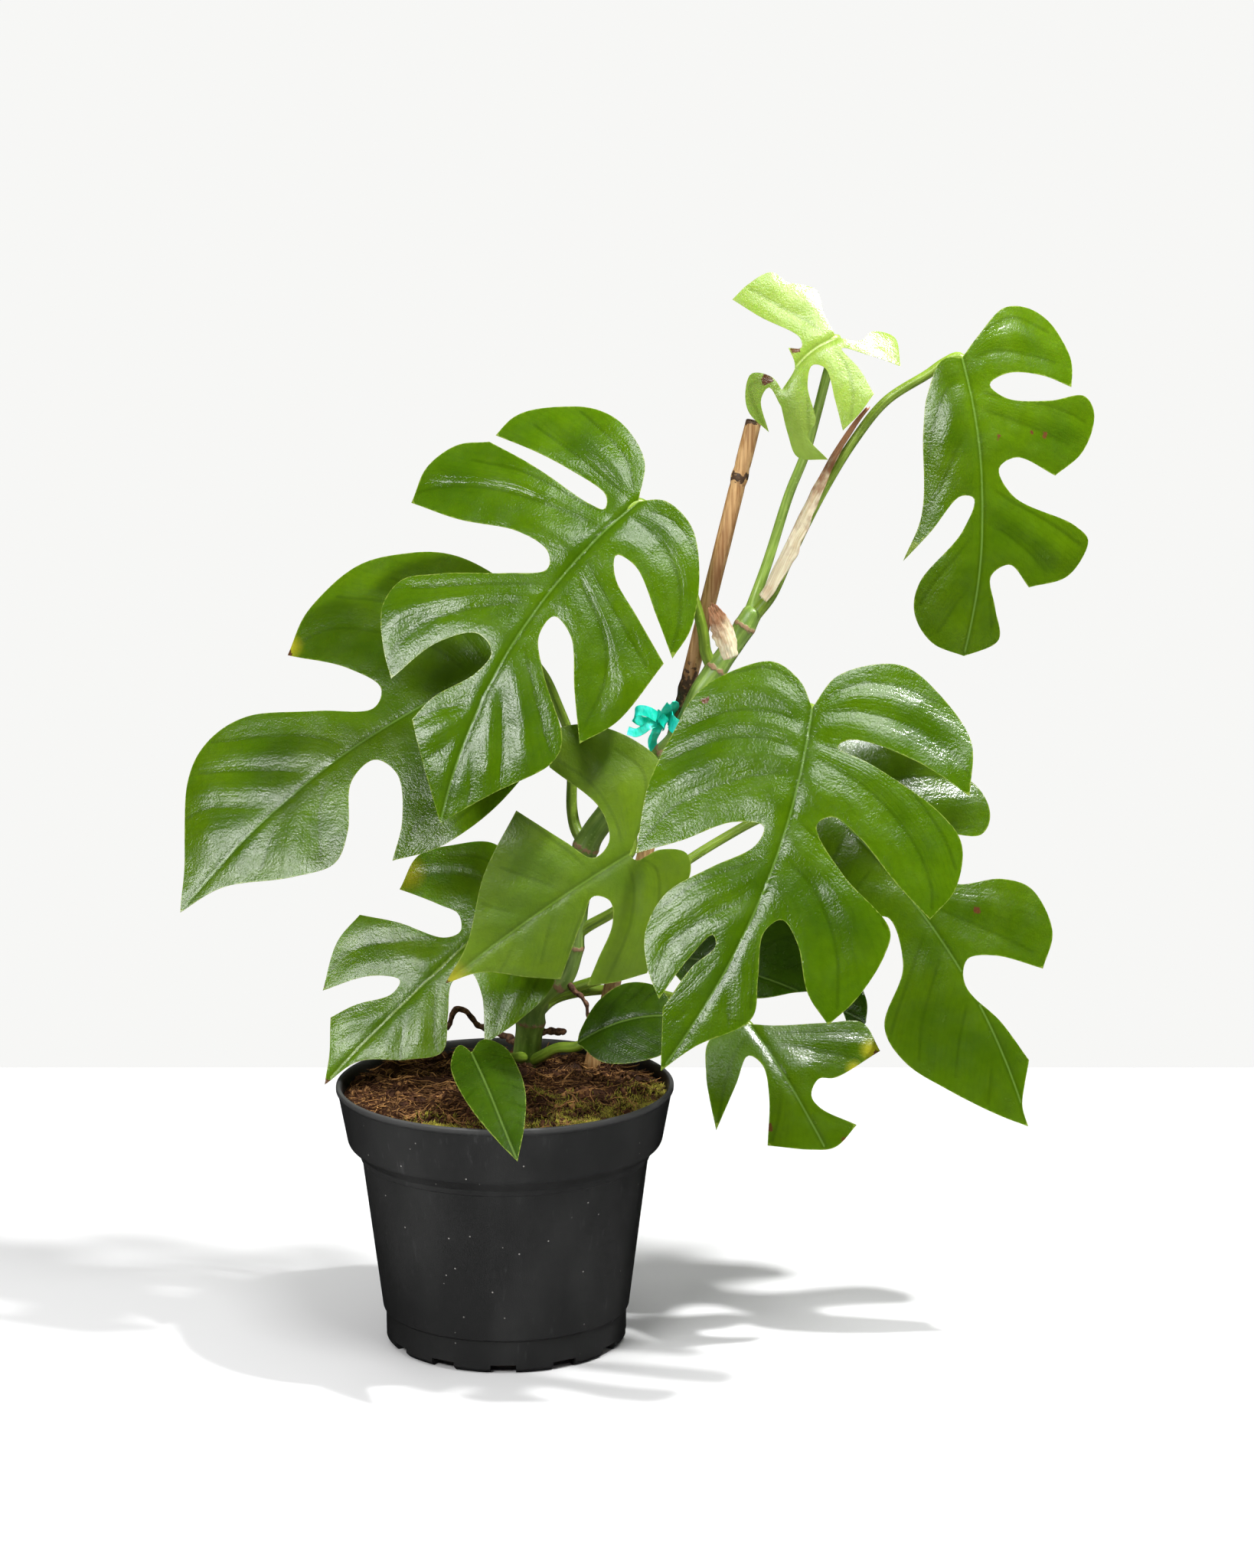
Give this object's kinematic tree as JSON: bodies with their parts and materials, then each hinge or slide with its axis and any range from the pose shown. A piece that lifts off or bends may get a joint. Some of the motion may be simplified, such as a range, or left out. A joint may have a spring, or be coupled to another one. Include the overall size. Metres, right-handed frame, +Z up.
{
  "type": "potted mini monstera",
  "caption": "Young climbing houseplant with split leaves, its stem tied to a bamboo cane, growing in a black nursery pot.",
  "frame": {"origin": "centre of the pot's base, on the surface that the pot stands on", "axes": "+Z up the pot's axis; -Y towards the side that the upper leaves face; +X towards the side that the cane and stem lean to"},
  "size_m": [0.4068, 0.177, 0.4785],
  "materials": {
    "nursery_pot": "matte charcoal-black moulded plastic with light scuffs",
    "growing_medium": "damp brown coir and peat fibre with patches of olive moss",
    "leaf": "glossy mid-green leaf with paler veins and a thin pale edge",
    "new_leaf": "soft glossy lime-green young leaf with brown torn edges",
    "stalk": "smooth satin yellow-green leaf stalk",
    "stem": "satin green stem with brown ringed nodes",
    "cane": "dry tan bamboo with dark speckled nodes",
    "tie": "thin turquoise plastic ribbon",
    "sheath": "dried papery beige leaf sheath",
    "root": "dark brown dry aerial root"
  },
  "bodies": {
    "root": {"nursery_pot": "nursery_pot", "growing_medium": "growing_medium", "bamboo_cane": "cane", "main_stem": "stem", "tie_ribbon": "tie", "upper_centre_stalk": "stalk", "upper_centre_blade": "leaf", "far_left_stalk": "stalk", "far_left_blade": "leaf", "new_top_stalk": "stalk", "new_top_blade": "new_leaf", "upper_right_stalk": "stalk", "upper_right_blade": "leaf", "front_right_stalk": "stalk", "front_right_blade": "leaf", "lower_right_stalk": "stalk", "lower_right_blade": "leaf", "low_right_stalk": "stalk", "low_right_blade": "leaf", "inner_right_stalk": "stalk", "inner_right_blade": "leaf", "centre_stalk": "stalk", "centre_blade": "leaf", "lower_left_stalk": "stalk", "lower_left_blade": "new_leaf", "front_rim_stalk": "stalk", "front_rim_blade": "leaf", "soil_right_stalk": "stalk", "soil_right_blade": "leaf", "dried_sheath_tall": "sheath", "dried_sheath_short": "sheath", "aerial_root_left": "root", "aerial_root_stub": "root", "aerial_root_right": "root"}
  },
  "joints": []
}
